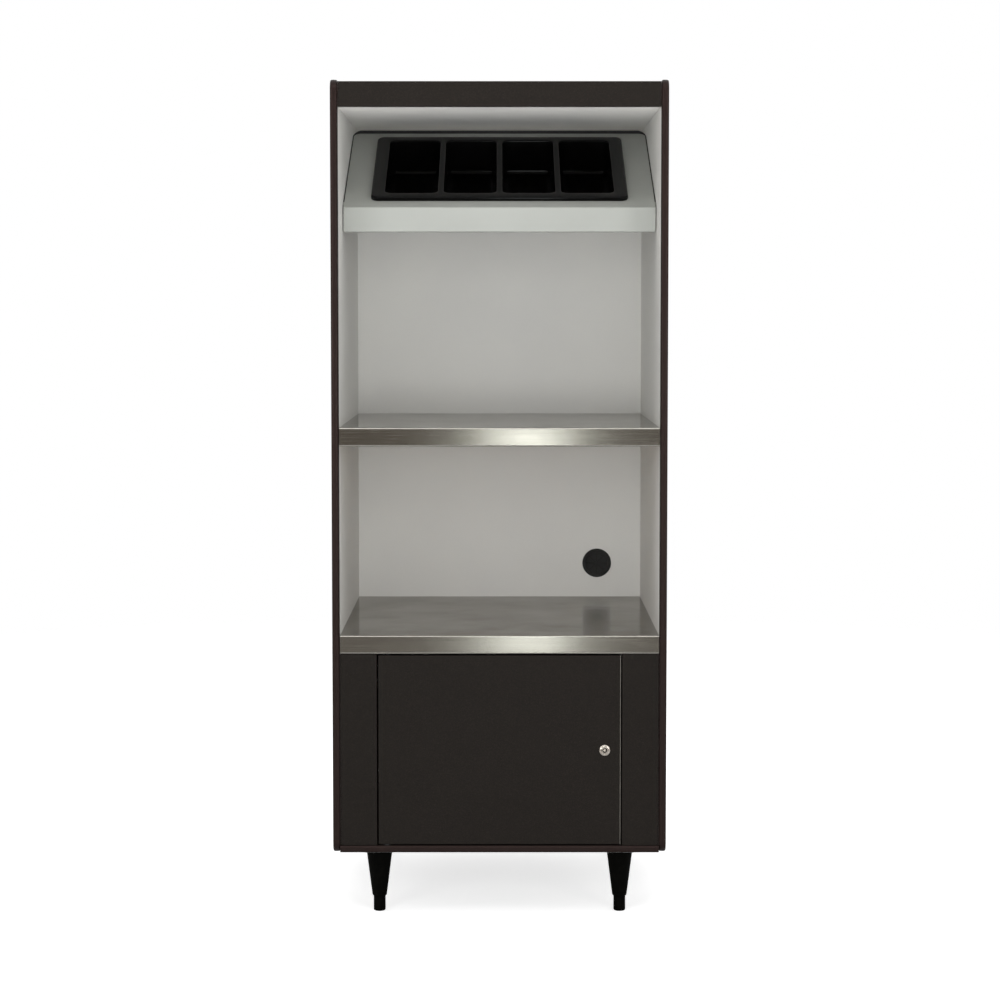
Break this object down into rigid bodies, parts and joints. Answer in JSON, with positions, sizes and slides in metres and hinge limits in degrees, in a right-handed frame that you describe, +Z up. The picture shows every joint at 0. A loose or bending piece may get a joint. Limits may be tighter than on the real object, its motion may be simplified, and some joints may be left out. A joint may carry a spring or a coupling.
{
  "type": "condiment station cabinet",
  "caption": "Tall open condiment station cabinet in charcoal and grey laminate with a sloped packet tray, two steel-faced shelves, a locked cupboard and black legs.",
  "frame": {"origin": "on the floor under the middle of the cabinet", "axes": "+Z up, the open front and the door face -Y, +X to the right seen from the front"},
  "size_m": [0.61, 0.61, 1.524],
  "materials": {
    "charcoal_laminate": "charcoal high-pressure laminate on particle board, fine matt grain",
    "grey_laminate": "light grey laminate, satin",
    "brown_vinyl": "dark brown extruded vinyl edge mould, satin",
    "bare_board": "bare particle board and softwood",
    "stainless_steel": "brushed stainless sheet",
    "grey_enamel": "light grey baked enamel on steel sheet",
    "black_gloss_plastic": "gloss black thermoformed plastic",
    "black_rubber": "black rubber",
    "chrome_plate": "polished chrome plate",
    "zinc_plate": "bright zinc plated steel",
    "black_plastic": "black moulded plastic, satin",
    "nylon": "black nylon"
  },
  "bodies": {
    "carcass": {"back_panel": "grey_laminate", "bottom_edge_mould": "brown_vinyl", "bottom_panel": "charcoal_laminate", "ceiling_batten_left": "bare_board", "ceiling_batten_right": "bare_board", "ceiling_panel": "grey_laminate", "condiment_deck": "grey_enamel", "counter_batten_left": "bare_board", "counter_batten_right": "bare_board", "counter_core": "bare_board", "counter_nosing": "bare_board", "counter_skin": "stainless_steel", "deck_bearer_left": "grey_enamel", "deck_bearer_right": "grey_enamel", "deck_edge_seal": "black_rubber", "door_stop": "bare_board", "header_rail": "charcoal_laminate", "lead_grommet": "black_rubber", "left_edge_mould": "brown_vinyl", "left_liner": "grey_laminate", "left_side_panel": "charcoal_laminate", "left_stile": "charcoal_laminate", "leg_front_left": "black_plastic", "leg_front_right": "black_plastic", "leg_plate_front_left": "zinc_plate", "leg_plate_front_right": "zinc_plate", "leg_plate_rear_left": "zinc_plate", "leg_plate_rear_right": "zinc_plate", "leg_rear_left": "black_plastic", "leg_rear_right": "black_plastic", "lower_pivot_pin": "zinc_plate", "oven_shelf_batten_left": "bare_board", "oven_shelf_batten_right": "bare_board", "oven_shelf_core": "bare_board", "oven_shelf_nosing": "bare_board", "oven_shelf_skin": "stainless_steel", "right_edge_mould": "brown_vinyl", "right_liner": "grey_laminate", "right_side_panel": "charcoal_laminate", "right_stile": "charcoal_laminate", "stile_batten_left": "bare_board", "stile_batten_right": "bare_board", "top_panel": "charcoal_laminate", "upper_pivot_pin": "zinc_plate"},
    "door": {"door": "charcoal_laminate", "lower_pivot_bush": "nylon", "upper_pivot_bush": "nylon", "lock_body": "chrome_plate", "lock_nut": "zinc_plate"},
    "lock": {"lock_plug": "chrome_plate", "lock_cam": "zinc_plate", "lock_cam_screw": "zinc_plate"},
    "tray": {"condiment_tray": "black_gloss_plastic"},
    "levelling_foot_front_left": {"foot_front_left": "black_plastic"},
    "levelling_foot_front_right": {"foot_front_right": "black_plastic"},
    "levelling_foot_rear_left": {"foot_rear_left": "black_plastic"},
    "levelling_foot_rear_right": {"foot_rear_right": "black_plastic"}
  },
  "joints": [
    {"name": "door_swing", "type": "hinge", "parent": "carcass", "child": "door", "pos_m": [-0.2065, -0.29465, 0.306], "axis": [0, 0, -1], "range_deg": [0, 120]},
    {"name": "lock_turn", "type": "hinge", "parent": "door", "child": "lock", "pos_m": [0.1925, -0.301, 0.3057], "axis": [0, -1, 0], "range_deg": [0, 90]},
    {"name": "tray_tip", "type": "hinge", "parent": "carcass", "child": "tray", "pos_m": [0, 0.12548, 1.44457], "axis": [-1, 0, 0], "range_deg": [0, 27]},
    {"name": "foot_front_left_screw", "type": "slide", "parent": "carcass", "child": "levelling_foot_front_left", "axis": [0, 0, -1], "range_m": [0, 0.02]},
    {"name": "foot_front_right_screw", "type": "slide", "parent": "carcass", "child": "levelling_foot_front_right", "axis": [0, 0, -1], "range_m": [0, 0.02]},
    {"name": "foot_rear_left_screw", "type": "slide", "parent": "carcass", "child": "levelling_foot_rear_left", "axis": [0, 0, -1], "range_m": [0, 0.02]},
    {"name": "foot_rear_right_screw", "type": "slide", "parent": "carcass", "child": "levelling_foot_rear_right", "axis": [0, 0, -1], "range_m": [0, 0.02]}
  ]
}
